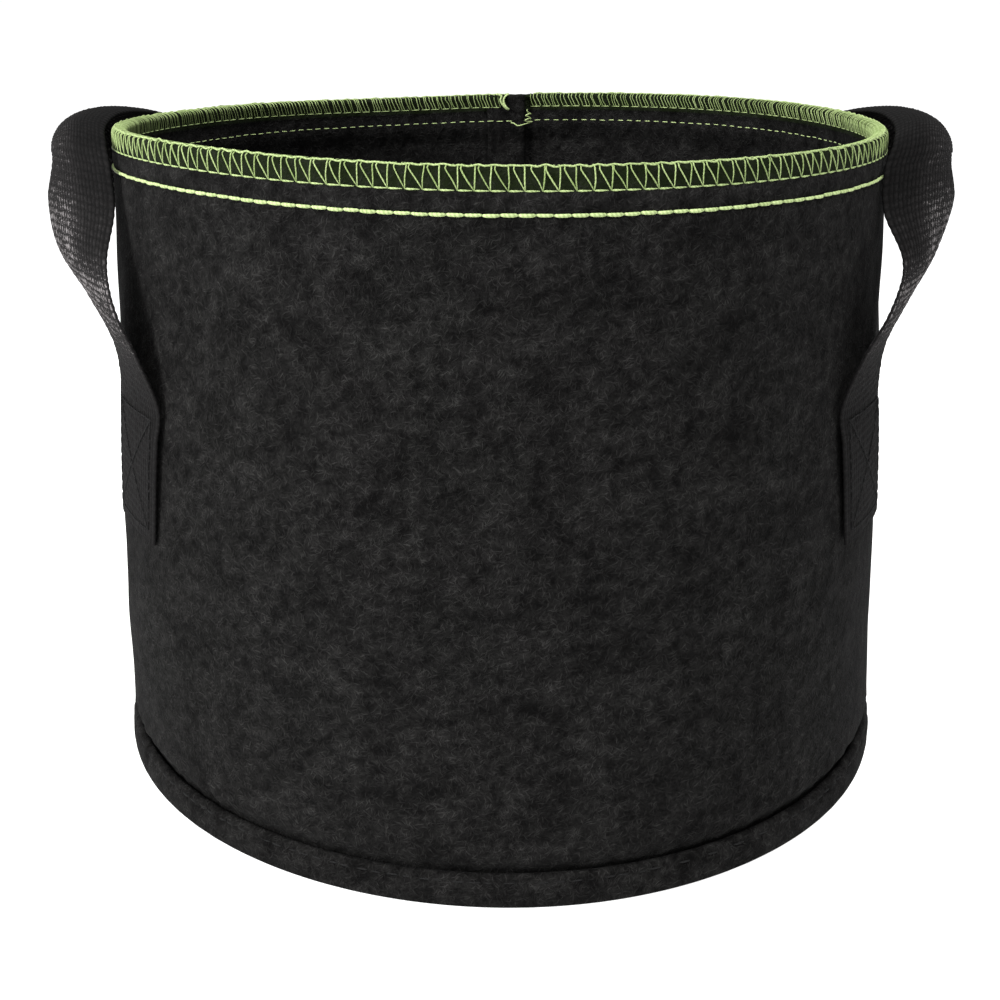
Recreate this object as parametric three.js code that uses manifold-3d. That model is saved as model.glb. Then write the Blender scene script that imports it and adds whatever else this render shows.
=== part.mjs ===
// A round fabric grow bag: a felt wall and base, two webbing carrying handles and their sewing threads.
// Millimetres, +Z up. The origin is the centre of the footprint, on the surface the bag stands on.
// The handles are at -X (left) and +X (right), and the wall's seam is at the back, at +Y.

import * as THREE from "three";
import { mergeVertices } from "three/addons/utils/BufferGeometryUtils.js";
import Module from "manifold-3d";

// Driving dimensions of the felt body
const HEIGHT = 213;
const RIM_RADIUS = 127;
const FOOT_RADIUS = 135;
const WAIST = 1.2;
const WAIST_FOOT = 110;
const FELT = 2.5;
const HEM_THICKNESS = 4.2;
const HEM_DEPTH = 17;
const SEAM_ALLOWANCE = 14;
const SEAM_RIGHT = 10;
const EDGE_ROUND = 1.4;

// Where the base panel is turned up round the wall
const BASE_RADIUS = 135.8;
const BAND_HEIGHT = 10;
const BAND_TUCK = 3.1;
const TUCK_END_HEIGHT = 23;

// Webbing handles
const STRAP_WIDTH = 38;
const STRAP_THICKNESS = 1.8;
const SEWN_BOTTOM = 90.5;
const SEWN_TOP = 135;
const LOOP_START = 135.9;
const STRAP_ANGLE = THREE.MathUtils.degToRad(28.2);
const STRAP_LEAN = THREE.MathUtils.degToRad(2.2);

// Threads
const THREAD = 0.9;
const RIM_STITCH_DEPTH = 13.3;
const OVERLOCK_DEPTH = 6.8;
const BASE_STITCH_HEIGHT = 8;
const BOX_MARGIN = 4;

// Clearance between touching pieces, and the number of flats round the bag
const GAP = 0.3;
const ROUND_STEPS = 60;

const felt = new THREE.MeshStandardMaterial({ color: 0x17171a, roughness: 0.97, metalness: 0 });
const webbing = new THREE.MeshStandardMaterial({ color: 0x1b1b1e, roughness: 0.75, metalness: 0 });
const greenThread = new THREE.MeshStandardMaterial({ color: 0xa4bf5e, roughness: 0.6, metalness: 0 });
const blackThread = new THREE.MeshStandardMaterial({ color: 0x141416, roughness: 0.6, metalness: 0 });

const wasm = await Module();
wasm.setup();

// The outside radius of the felt wall at a height, before the foot is tucked in: a taper that
// narrows a little under the hem.
function wallRadius(z) {
  const taper = RIM_RADIUS + (FOOT_RADIUS - RIM_RADIUS) * (1 - z / HEIGHT);
  const share = Math.max(z - WAIST_FOOT, 0) / (HEIGHT - WAIST_FOOT);
  return taper - WAIST * Math.sin(Math.PI * share) ** 2;
}

// The inside radius of the hem at a height.
function hemInside(z) {
  return wallRadius(z) - HEM_THICKNESS;
}

// A closed profile of [radius, height] points turned round the bag's axis.
function turned(profile) {
  const points = profile.map(([radius, z]) => new THREE.Vector2(radius, z));
  return new THREE.LatheGeometry(points, ROUND_STEPS).rotateX(Math.PI / 2);
}

function closedLoop(points) {
  return [...points, points[0]];
}

// A box from -0.5 to 0.5 each way whose points are moved by place(across, through, along).
function shapedBox(place, acrossSteps, alongSteps) {
  const geometry = new THREE.BoxGeometry(1, 1, 1, acrossSteps, 1, alongSteps);
  const position = geometry.attributes.position;
  for (let i = 0; i < position.count; i += 1) {
    const moved = place(position.getX(i), position.getY(i), position.getZ(i));
    position.setXYZ(i, moved.x, moved.y, moved.z);
  }
  return geometry;
}

function toSolid(geometry) {
  const bare = geometry.clone();
  bare.deleteAttribute("normal");
  bare.deleteAttribute("uv");
  const merged = mergeVertices(bare, 1e-4);
  return new wasm.Manifold(
    new wasm.Mesh({
      numProp: 3,
      vertProperties: new Float32Array(merged.attributes.position.array),
      triVerts: new Uint32Array(merged.index.array),
    }),
  );
}

function toGeometry(solid) {
  const mesh = solid.getMesh();
  const geometry = new THREE.BufferGeometry();
  geometry.setAttribute("position", new THREE.BufferAttribute(mesh.vertProperties, 3));
  geometry.setIndex(new THREE.BufferAttribute(mesh.triVerts, 1));
  geometry.computeVertexNormals();
  return geometry;
}

function joined(geometries) {
  const solids = geometries.map(toSolid);
  return toGeometry(solids.reduce((sum, solid) => sum.add(solid)));
}

// The felt tube: tucked in at the foot, tapered up to the rim, doubled inside by the hem.
function feltTube() {
  const tucked = wallRadius(0) - BAND_TUCK;
  const floorTop = FELT + GAP;
  const hemFoot = HEIGHT - HEM_DEPTH;
  const rimInside = RIM_RADIUS - HEM_THICKNESS;
  const levels = [0.5, 0.6, 0.68, 0.76, 0.83, 0.9].map((share) => share * HEIGHT);
  const outside = [
    [tucked, floorTop],
    [tucked, BAND_HEIGHT],
    [(tucked + wallRadius(TUCK_END_HEIGHT)) / 2 + 0.3, (BAND_HEIGHT + TUCK_END_HEIGHT) / 2],
    [wallRadius(TUCK_END_HEIGHT), TUCK_END_HEIGHT],
    ...levels.map((z) => [wallRadius(z), z]),
    [RIM_RADIUS, HEIGHT - EDGE_ROUND],
    [RIM_RADIUS - EDGE_ROUND, HEIGHT],
  ];
  const inside = [
    [rimInside + EDGE_ROUND, HEIGHT],
    [rimInside, HEIGHT - EDGE_ROUND],
    [wallRadius(hemFoot) - HEM_THICKNESS, hemFoot],
    [wallRadius(hemFoot) - FELT, hemFoot - EDGE_ROUND],
    ...levels.reverse().map((z) => [wallRadius(z) - FELT, z]),
    [wallRadius(TUCK_END_HEIGHT) - FELT, TUCK_END_HEIGHT],
    [tucked - FELT, BAND_HEIGHT],
    [tucked - FELT, floorTop],
  ];
  return turned(closedLoop([...outside, ...inside]));
}

// The wall's two ends, turned inside at the back and lying one on the other to the left of the seam.
// margin makes the strip bigger all round, to cut away what would run through it.
function seamAllowance(margin = 0) {
  const bottom = TUCK_END_HEIGHT - margin;
  const top = HEIGHT + margin;
  const root = 1.2;
  const depth = 2 * FELT + root + margin;
  const width = SEAM_ALLOWANCE + 2 * margin;
  return shapedBox(
    (across, through, along) => {
      const z = bottom + (along + 0.5) * (top - bottom);
      const face = wallRadius(z) - FELT + root;
      const x = SEAM_RIGHT + margin - width * (0.5 - across);
      return new THREE.Vector3(x, face - (0.5 - through) * depth, z);
    },
    1,
    8,
  );
}

function besideAllowance(geometry) {
  return toGeometry(toSolid(geometry).subtract(toSolid(seamAllowance(GAP))));
}

function wallPanel() {
  return joined([feltTube(), seamAllowance()]);
}

// A felt disc whose edge is turned up round the outside of the wall.
function basePanel() {
  const bandInside = wallRadius(0) - BAND_TUCK + GAP;
  return turned([
    [0, 0],
    [BASE_RADIUS - 1, 0],
    [BASE_RADIUS - 0.1, 0.9],
    [BASE_RADIUS, 4],
    [BASE_RADIUS - 0.4, BAND_HEIGHT - 2],
    [BASE_RADIUS - 1.2, BAND_HEIGHT],
    [bandInside, BAND_HEIGHT],
    [bandInside, FELT],
    [0, FELT],
  ]);
}

// A thread ring of five sides about a circle of the given radius and height.
function threadRing(radius, z) {
  const sides = 5;
  const profile = [];
  for (let i = 0; i < sides; i += 1) {
    const angle = (i / sides) * 2 * Math.PI;
    profile.push([radius + (THREAD / 2) * Math.cos(angle), z + (THREAD / 2) * Math.sin(angle)]);
  }
  return turned(closedLoop(profile));
}

// The part of the overlock that lies on one face of the rim, as a thin band.
function overlockFace(radiusAt, outward) {
  const bottom = HEIGHT - OVERLOCK_DEPTH;
  const top = HEIGHT - EDGE_ROUND;
  const near = GAP * outward;
  const far = (GAP + THREAD) * outward;
  const loop = [
    [radiusAt(bottom) + near, bottom],
    [radiusAt(bottom) + far, bottom],
    [radiusAt(top) + far, top],
    [radiusAt(top) + near, top],
  ];
  return turned(closedLoop(outward > 0 ? loop : loop.reverse()));
}

// A point on the wall's outside: an angle round from the -X axis towards the front, and a height.
function onWall(angle, z, lift) {
  const radius = wallRadius(z) + lift;
  return new THREE.Vector3(-radius * Math.cos(angle), -radius * Math.sin(angle), z);
}

// A place on the sewn strap, at the front left: mm across from its middle line, a height, and mm
// out from the middle of its thickness. The strap leans towards the front as it rises.
function onStrap(across, z, out) {
  const middleRadius = wallRadius((SEWN_BOTTOM + SEWN_TOP) / 2);
  const lean = (STRAP_LEAN * (z - SEWN_BOTTOM)) / (SEWN_TOP - SEWN_BOTTOM);
  const seat = GAP + 0.15 + STRAP_THICKNESS / 2;
  return onWall(STRAP_ANGLE + lean + across / middleRadius, z, seat + out);
}

// The stretch of strap that is sewn flat on the wall, at the front left.
function strapEnd() {
  return shapedBox(
    (across, through, along) => {
      const z = SEWN_BOTTOM + (along + 0.5) * (SEWN_TOP - SEWN_BOTTOM);
      return onStrap(across * STRAP_WIDTH, z, -through * STRAP_THICKNESS);
    },
    4,
    4,
  );
}

// One straight run of box stitching between two places on the strap's face, [mm across, mm up].
function stitchRun([fromAcross, fromUp], [toAcross, toUp]) {
  const length = Math.hypot(toAcross - fromAcross, toUp - fromUp);
  const alongAcross = (toAcross - fromAcross) / length;
  const alongUp = (toUp - fromUp) / length;
  const out = STRAP_THICKNESS / 2 + GAP + THREAD / 2;
  return shapedBox(
    (across, through, along) => {
      const run = (along + 0.5) * (length + THREAD) - THREAD / 2;
      const side = across * THREAD;
      const sideways = fromAcross + alongAcross * run + alongUp * side;
      const up = fromUp + alongUp * run - alongAcross * side;
      return onStrap(sideways, up, out - through * THREAD);
    },
    1,
    4,
  );
}

// A stitched box with a cross in it, on the front left strap end.
function boxStitch() {
  const half = STRAP_WIDTH / 2 - BOX_MARGIN;
  const low = SEWN_BOTTOM + BOX_MARGIN;
  const high = SEWN_TOP - BOX_MARGIN;
  const corners = [
    [-half, low],
    [half, low],
    [half, high],
    [-half, high],
  ];
  const runs = corners.map((corner, i) => stitchRun(corner, corners[(i + 1) % corners.length]));
  runs.push(stitchRun(corners[0], corners[2]));
  runs.push(stitchRun(corners[1], corners[3]));
  return joined(runs);
}

// The left handle from its front sewn end up to the middle of its crown: the places of the strap's
// lower, outer edge and of its upper, inner edge, and how far its middle is arched outwards.
const HANDLE_STATIONS = [
  {
    outer: onStrap(-STRAP_WIDTH / 2, LOOP_START, 0).toArray(),
    inner: onStrap(STRAP_WIDTH / 2, LOOP_START, 0).toArray(),
    arch: 1.4,
  },
  { outer: [-123.5, -46.2, 149.5], inner: [-107.4, -80.2, 149.5], arch: 1.4 },
  { outer: [-131.3, -42.6, 163.5], inner: [-114.4, -76.2, 164.1], arch: 1.0 },
  { outer: [-139.6, -37.4, 176.2], inner: [-118.0, -67.4, 176.8], arch: 1.2 },
  { outer: [-144.2, -31.4, 190.1], inner: [-117.1, -57.6, 190.6], arch: 2.0 },
  { outer: [-144.0, -25.9, 200.8], inner: [-118.4, -53.4, 202.9], arch: 3.0 },
  { outer: [-145.1, -19.3, 204.9], inner: [-120.8, -47.3, 209.8], arch: 4.2 },
  { outer: [-149.0, -10.5, 200.0], inner: [-126.0, -26.9, 213.6], arch: 5.6 },
  { outer: [-150.6, 0, 198.2], inner: [-128.0, 0, 215.2], arch: 6.2 },
];

// A smooth curve through one edge of the whole handle: the front half and its mirror at the back.
function handleEdge(edge) {
  const front = HANDLE_STATIONS.map((station) => new THREE.Vector3(...station[edge]));
  const back = front.slice(0, -1).reverse();
  const mirrored = back.map((point) => new THREE.Vector3(point.x, -point.y, point.z));
  return new THREE.CatmullRomCurve3([...front, ...mirrored], false, "catmullrom", 0.5);
}

function handleArch(u) {
  const last = HANDLE_STATIONS.length - 1;
  const at = (1 - Math.abs(2 * u - 1)) * last;
  const from = Math.min(Math.floor(at), last - 1);
  const share = at - from;
  return HANDLE_STATIONS[from].arch * (1 - share) + HANDLE_STATIONS[from + 1].arch * share;
}

// The free stretch of the left strap: a ribbon between its two edge curves.
function strapLoop() {
  const outerEdge = handleEdge("outer");
  const innerEdge = handleEdge("inner");
  const lift = new THREE.Vector3();
  return shapedBox(
    (across, through, along) => {
      const u = along + 0.5;
      const outer = outerEdge.getPoint(u);
      const inner = innerEdge.getPoint(u);
      const width = inner.clone().sub(outer);
      const forward = outerEdge.getTangent(u).add(innerEdge.getTangent(u));
      lift.crossVectors(width, forward).normalize();
      const arch = handleArch(u) * (1 - 4 * across * across);
      const out = arch - through * STRAP_THICKNESS;
      return outer.addScaledVector(width, across + 0.5).addScaledVector(lift, out);
    },
    4,
    48,
  );
}

// A round thread along a smooth line through the points.
function looseThread(points, steps) {
  const section = new THREE.Shape();
  section.absarc(0, 0, THREAD / 2, 0, 2 * Math.PI);
  const path = new THREE.CatmullRomCurve3(points.map((point) => new THREE.Vector3(...point)));
  return new THREE.ExtrudeGeometry(section, {
    steps,
    extrudePath: path,
    curveSegments: 6,
    bevelEnabled: false,
  });
}

// The line of the back seam's thread, in the corner where the allowance turns inside.
function backSeamThread() {
  const places = [TUCK_END_HEIGHT + 2, HEIGHT - HEM_DEPTH - 4];
  const x = SEAM_RIGHT + GAP + THREAD / 2;
  return looseThread(
    places.map((z) => [x, wallRadius(z) - FELT - WAIST - GAP - THREAD, z]),
    2,
  );
}

// The end of the overlock's thread, hanging inside the rim beside the seam.
function threadTail() {
  const face = RIM_RADIUS - HEM_THICKNESS - 2 * GAP - 2 * THREAD;
  const places = [
    [1.2, 0.4, 1.5],
    [2.6, 1.3, 3.2],
    [1.0, 1.0, 5.2],
    [2.8, 1.3, 7.4],
    [1.4, 0.9, 9.6],
    [2.4, 0.6, 11.4],
  ];
  return looseThread(
    places.map(([right, inward, drop]) => [SEAM_RIGHT + right, face - inward, HEIGHT - drop]),
    20,
  );
}

const bag = new THREE.Group();

function add(name, geometry, material, sideX = 1, sideY = 1) {
  const mesh = new THREE.Mesh(geometry, material);
  mesh.name = name;
  mesh.scale.set(sideX, sideY, 1);
  bag.add(mesh);
}

const threadSeat = GAP + THREAD / 2;
const rimStitchHeight = HEIGHT - RIM_STITCH_DEPTH;
const rimNeedleRadius = wallRadius(rimStitchHeight) + threadSeat;
const rimBobbinRadius = hemInside(rimStitchHeight) - threadSeat;
const footInside = wallRadius(0) - BAND_TUCK - FELT;

add("wall_panel", wallPanel(), felt);
add("base_panel", basePanel(), felt);
add("rim_overlock_outer", overlockFace(wallRadius, 1), greenThread);
add("rim_overlock_inner", besideAllowance(overlockFace(hemInside, -1)), greenThread);
add("rim_overlock_edge", threadRing(RIM_RADIUS - HEM_THICKNESS / 2, HEIGHT + threadSeat), greenThread);
add("rim_stitch_needle", threadRing(rimNeedleRadius, rimStitchHeight), greenThread);
add("rim_stitch_bobbin", besideAllowance(threadRing(rimBobbinRadius, rimStitchHeight)), greenThread);
add("base_stitch_needle", threadRing(BASE_RADIUS - 0.4 + threadSeat, BASE_STITCH_HEIGHT), blackThread);
add("base_stitch_bobbin", threadRing(footInside - threadSeat, BASE_STITCH_HEIGHT), blackThread);
add("back_seam_thread", backSeamThread(), greenThread);
add("seam_thread_tail", threadTail(), greenThread);

for (const [side, sideX] of [["left", 1], ["right", -1]]) {
  add(`${side}_strap_loop`, strapLoop(), webbing, sideX);
  for (const [place, sideY] of [["front", 1], ["rear", -1]]) {
    add(`${side}_strap_${place}_end`, strapEnd(), webbing, sideX, sideY);
    add(`${side}_${place}_box_stitch`, boxStitch(), blackThread, sideX, sideY);
  }
}

export default bag;
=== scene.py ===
"""A round fabric grow bag: the looks of the felt, webbing and threads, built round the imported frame.

Metres, +Z up. The bag stands on z = 0 with its handles at -X and +X and its wall's seam at the back.
A direction round the bag is given by its turn: 0 at the front (-Y), growing towards +X.
"""

import math

import bpy
import numpy as np
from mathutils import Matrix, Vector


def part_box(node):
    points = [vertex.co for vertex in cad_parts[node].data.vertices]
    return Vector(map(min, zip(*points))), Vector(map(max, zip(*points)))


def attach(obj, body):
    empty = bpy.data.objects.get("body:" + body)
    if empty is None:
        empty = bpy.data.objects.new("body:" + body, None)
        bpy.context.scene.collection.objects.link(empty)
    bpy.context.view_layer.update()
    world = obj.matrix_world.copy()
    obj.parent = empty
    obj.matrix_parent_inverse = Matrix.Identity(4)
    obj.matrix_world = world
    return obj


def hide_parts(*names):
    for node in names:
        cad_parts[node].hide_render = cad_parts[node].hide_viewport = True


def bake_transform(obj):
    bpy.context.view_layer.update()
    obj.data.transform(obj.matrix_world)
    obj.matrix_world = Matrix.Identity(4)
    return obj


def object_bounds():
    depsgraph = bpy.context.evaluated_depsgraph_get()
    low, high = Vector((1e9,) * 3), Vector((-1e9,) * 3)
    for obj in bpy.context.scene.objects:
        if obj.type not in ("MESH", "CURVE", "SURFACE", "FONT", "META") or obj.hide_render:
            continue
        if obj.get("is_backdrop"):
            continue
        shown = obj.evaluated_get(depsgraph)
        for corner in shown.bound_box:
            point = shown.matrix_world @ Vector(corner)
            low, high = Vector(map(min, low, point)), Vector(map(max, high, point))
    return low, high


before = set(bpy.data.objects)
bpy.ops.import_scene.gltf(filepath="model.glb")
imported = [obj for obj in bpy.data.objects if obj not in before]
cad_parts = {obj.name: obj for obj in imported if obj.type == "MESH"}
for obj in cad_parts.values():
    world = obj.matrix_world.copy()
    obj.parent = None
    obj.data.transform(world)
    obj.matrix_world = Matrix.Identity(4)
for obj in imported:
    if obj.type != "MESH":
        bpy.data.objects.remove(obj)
cad_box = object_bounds()

MM = 0.001
rng = np.random.default_rng(7)

# The felt body, as in the frame
HEIGHT = float(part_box("wall_panel")[1][2])
RIM_RADIUS = 127 * MM
FOOT_RADIUS = 135 * MM
WAIST = 1.2 * MM
WAIST_FOOT = 110 * MM
FELT = 2.5 * MM
HEM_THICKNESS = 4.2 * MM
HEM_DEPTH = 17 * MM
FLOOR_GAP = 0.3 * MM
FELT_COLUMNS = 720
FLOOR_ROWS = 24

# The rim's crest, a little below the frame's top edge, where the overlock pulls it down
CREST = HEIGHT - 0.6 * MM
CREST_ROUND = 1.6 * MM
INNER_DROP = 0.7 * MM

# The base, turned up round the wall
BASE_RADIUS = float(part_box("base_panel")[1][0])
BAND_HEIGHT = float(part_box("base_panel")[1][2])
BAND_TUCK = 3.1 * MM
TUCK_END_HEIGHT = 16 * MM

# The wall's seam at the back: its place to the right of the middle, and the strip turned inside
SEAM_RIGHT = 10 * MM
SEAM_RISE = 2.7 * MM
BARE_RIM = 6 * MM

# Threads
LOCK_HEIGHT = HEIGHT - 13.3 * MM
LOCK_PITCH = 4.6 * MM
LOCK_THREAD = 0.47 * MM
LOCK_INSIDE_PITCH = 4.1 * MM
LOCK_INSIDE_THREAD = 0.18 * MM
NEEDLE_HEIGHT = HEIGHT - 7.1 * MM
INNER_NEEDLE_HEIGHT = HEIGHT - 5.9 * MM
OVERLOCK_PITCH = 4.4 * MM
OVERLOCK_THREAD = 0.2 * MM
CHAIN_THREAD = 1.35 * OVERLOCK_THREAD
CHAIN_CLEAN = 0.78
DASH_CLEAN = 0.8
BASE_LINE = 8 * MM
BASE_THREAD = 0.28 * MM
BASE_INSIDE_THREAD = 0.35 * MM
BASE_THREAD_INSET = 1.22 * MM
SEAM_PITCH = 3.6 * MM
SEAM_THREAD = 0.24 * MM

# Webbing
STRAP_WIDTH = 38 * MM
STRAP_THICKNESS = 1.8 * MM
STRAP_ANGLE = math.radians(28.2)
STRAP_LEAN = math.radians(2.2)
SEWN_BOTTOM = 90.5 * MM
SEWN_TOP = 135 * MM
BOX_MARGIN = 4 * MM
BOX_PITCH = 3.2 * MM
BOX_THREAD = 0.17 * MM
WEAVE_ROW = 2.5 * MM
WEAVE_COLUMN = STRAP_WIDTH / 24
WEAVE_DEPTH = 0.38 * MM
EDGE_SCALLOP = 0.14 * MM
SELVEDGE = 1.8 * MM

# The camera, in the bag's own measure
CAMERA_BACK = 3.849 * RIM_RADIUS
CAMERA_ABOVE_RIM = 0.332 * RIM_RADIUS
CAMERA_TILT = math.radians(17.26)
CAMERA_LENS = 51.1
CAMERA_SHIFT = -0.07

# The studio
FLOOR_REACH = 200.0
FLOOR_GLOW = 0.75
WORLD_LIGHT = 0.48
LIGHT_TARGET = (0, 0, 0.12)
KEY_WATTS = 44
TOP_WATTS = 34


# ---------------------------------------------------------------- helpers

def smoothstep(low, high, value):
    share = np.clip((value - low) / (high - low), 0, 1)
    return share * share * (3 - 2 * share)


def bump_at(value, centre, width):
    return np.exp(-0.5 * ((value - centre) / width) ** 2)


def round_bump(turn, centre, width):
    """A bump over the turn round the bag. centre and width are in degrees."""
    away = (turn - math.radians(centre) + math.pi) % (2 * math.pi) - math.pi
    return bump_at(away, 0, math.radians(width))


class Waves:
    """Smooth seeded noise over a length round the bag and a height, which joins up round the bag."""

    def __init__(self, count, turns, rises):
        self.turns = rng.integers(turns[0], turns[1] + 1, count)
        self.rises = rng.uniform(rises[0], rises[1], count) * rng.choice([-1, 1], count)
        self.phases = rng.uniform(0, 2 * math.pi, count)
        self.sizes = rng.uniform(0.5, 1, count)
        self.sizes /= math.sqrt((self.sizes ** 2).sum() / 2)

    def __call__(self, turn, height):
        total = np.zeros(np.broadcast(turn, height).shape)
        for count, rise, phase, size in zip(self.turns, self.rises, self.phases, self.sizes):
            total += size * np.sin(count * turn + rise * height + phase)
        return total


def mesh_object(name, points, faces, material, cloth=None, smooth=True):
    """A mesh object. cloth holds each point's place on the flat cloth or along the thread, in metres."""
    mesh = bpy.data.meshes.new(name)
    faces = faces if isinstance(faces, list) else faces.tolist()
    mesh.from_pydata(np.asarray(points, float).tolist(), [], faces)
    if cloth is not None:
        layer = mesh.attributes.new("cloth", "FLOAT_VECTOR", "POINT")
        layer.data.foreach_set("vector", np.asarray(cloth, np.float32).ravel())
    mesh.polygons.foreach_set("use_smooth", [smooth] * len(mesh.polygons))
    mesh.materials.append(material)
    mesh.update()
    piece = bpy.data.objects.new(name, mesh)
    bpy.context.scene.collection.objects.link(piece)
    return piece


def add_layer(piece, name, values):
    """A number for each of a piece's points, which its material reads by name."""
    layer = piece.data.attributes.new(name, "FLOAT", "POINT")
    layer.data.foreach_set("value", np.asarray(values, np.float32).ravel())


def ring_faces(rows, columns, close_rows=True, close_columns=True):
    """Quads over a grid of rows by columns of points, facing out when rows go up the outside."""
    row_count = rows if close_rows else rows - 1
    column_count = columns if close_columns else columns - 1
    i, j = np.meshgrid(np.arange(row_count), np.arange(column_count), indexing="ij")
    below, above = i * columns, ((i + 1) % rows) * columns
    right = (j + 1) % columns
    return np.stack([below + j, below + right, above + right, above + j], -1).reshape(-1, 4)


class Tubes:
    """Many thread lengths in one mesh."""

    def __init__(self, sides=6):
        self.sides = sides
        self.points, self.cloth, self.clean, self.faces, self.count = [], [], [], [], 0

    def add(self, path, radius, clean=1.0):
        """Adds one length. clean says how little its colour is dulled by the felt's fuzz, from 0 to 1."""
        path = settled(path)
        ahead = np.gradient(path, axis=0)
        ahead /= np.maximum(np.linalg.norm(ahead, axis=1), 1e-12)[:, None]
        out = path * [1, 1, 0] + [0, 0, 1e-3]
        side = np.cross(ahead, out)
        side /= np.maximum(np.linalg.norm(side, axis=1), 1e-12)[:, None]
        up = np.cross(side, ahead)
        steps = np.linalg.norm(np.diff(path, axis=0), axis=1)
        along = np.concatenate([[0], np.cumsum(steps)])
        angle = np.arange(self.sides) * 2 * math.pi / self.sides
        radius = np.broadcast_to(radius, len(path))[:, None, None]
        ring = side[:, None] * np.cos(angle)[:, None] + up[:, None] * np.sin(angle)[:, None]
        self.points.append((path[:, None] + ring * radius).reshape(-1, 3))
        where = np.zeros((len(path), self.sides, 3))
        where[..., 0] = along[:, None]
        where[..., 1] = angle / (2 * math.pi)
        where[..., 2] = self.count
        self.cloth.append(where.reshape(-1, 3))
        self.clean.append(np.full(len(path) * self.sides, clean))
        first = sum(len(p) for p in self.points[:-1])
        last = first + (len(path) - 1) * self.sides
        quads = ring_faces(len(path), self.sides, close_rows=False) + first
        self.faces += quads[:, ::-1].tolist()
        self.faces.append([first + k for k in range(self.sides)])
        self.faces.append([last + k for k in range(self.sides)][::-1])
        self.count += 1

    def object(self, name, material):
        piece = mesh_object(name, np.concatenate(self.points), self.faces, material,
                            np.concatenate(self.cloth))
        add_layer(piece, "clean", np.concatenate(self.clean))
        return piece


def smooth_path(points, steps=4):
    """A Catmull-Rom curve through the points."""
    points = np.asarray(points, float)
    ends = np.concatenate([2 * points[:1] - points[1:2], points, 2 * points[-1:] - points[-2:-1]])
    t = (np.arange(steps) / steps)[None, :, None]
    a, b, c, d = (ends[k:len(ends) - 3 + k, None] for k in range(4))
    curve = 0.5 * (2 * b + (c - a) * t + (2 * a - 5 * b + 4 * c - d) * t ** 2
                   + (3 * b - a - 3 * c + d) * t ** 3)
    return np.concatenate([curve.reshape(-1, points.shape[1]), points[-1:]])


def around(turn, radius, height):
    turn, radius, height = np.broadcast_arrays(turn, radius, height)
    return np.stack([radius * np.sin(turn), -radius * np.cos(turn), height], -1)


# ---------------------------------------------------------------- materials

class Nodes:
    """Short calls for building a material's node tree."""

    def __init__(self, name):
        self.material = bpy.data.materials.new(name)
        self.material.use_nodes = True
        self.tree = self.material.node_tree
        self.shader = self.tree.nodes["Principled BSDF"]

    def make(self, kind, inputs=None, **settings):
        node = self.tree.nodes.new(kind)
        for key, value in settings.items():
            setattr(node, key, value)
        for key, value in (inputs or {}).items():
            self.put(node.inputs[key], value)
        return node

    def put(self, socket, value):
        if isinstance(value, bpy.types.NodeSocket):
            self.tree.links.new(value, socket)
        else:
            socket.default_value = value

    def math(self, operation, *values, clamp=False):
        node = self.make("ShaderNodeMath", operation=operation, use_clamp=clamp)
        for socket, value in zip(node.inputs, values):
            self.put(socket, value)
        return node.outputs[0]

    def cloth(self, scale):
        """The place on the cloth, times a scale in each direction."""
        place = self.make("ShaderNodeAttribute", attribute_name="cloth").outputs["Vector"]
        return self.make("ShaderNodeVectorMath", {0: place, 1: scale}, operation="MULTIPLY").outputs[0]

    def noise(self, vector, scale, detail=2.0, roughness=0.5):
        inputs = {"Vector": vector, "Scale": scale, "Detail": detail, "Roughness": roughness}
        return self.make("ShaderNodeTexNoise", inputs).outputs["Fac"]

    def turned(self, vector, angle, size):
        """The place in cells of a given size, whose first side lies at an angle."""
        inputs = {"Vector": vector, "Rotation": (0, 0, angle), "Scale": size}
        return self.make("ShaderNodeMapping", inputs, vector_type="TEXTURE").outputs[0]

    def ramp(self, value, stops):
        node = self.make("ShaderNodeValToRGB", {"Fac": value})
        elements = node.color_ramp.elements
        while len(elements) < len(stops):
            elements.new(0.5)
        for element, (position, colour) in zip(elements, stops):
            element.position = position
            element.color = (*colour, 1)
        return node.outputs["Color"]

    def bump(self, height, strength, distance):
        inputs = {"Height": height, "Strength": strength, "Distance": distance}
        normal = self.make("ShaderNodeBump", inputs).outputs["Normal"]
        self.put(self.shader.inputs["Normal"], normal)

    def finish(self, colour, roughness, **sockets):
        self.put(self.shader.inputs["Base Color"], colour)
        self.put(self.shader.inputs["Roughness"], roughness)
        for name, value in sockets.items():
            self.put(self.shader.inputs[name.replace("_", " ")], value)
        return self.material


def fibre_layer(n, place, angle, length, thickness):
    """Short fibres lying near one angle, each a little brighter or darker than the next."""
    stretched = n.turned(place, angle, (length, thickness, 1))
    cells = n.make("ShaderNodeTexVoronoi", {"Vector": stretched, "Scale": 1.0})
    body = n.math("MULTIPLY_ADD", cells.outputs["Distance"], -3.4, 1.15, clamp=True)
    parts = n.make("ShaderNodeSeparateColor", {0: cells.outputs["Color"]})
    return n.math("MULTIPLY", body, n.math("MULTIPLY_ADD", parts.outputs[0], 0.8, 0.2))


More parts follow.
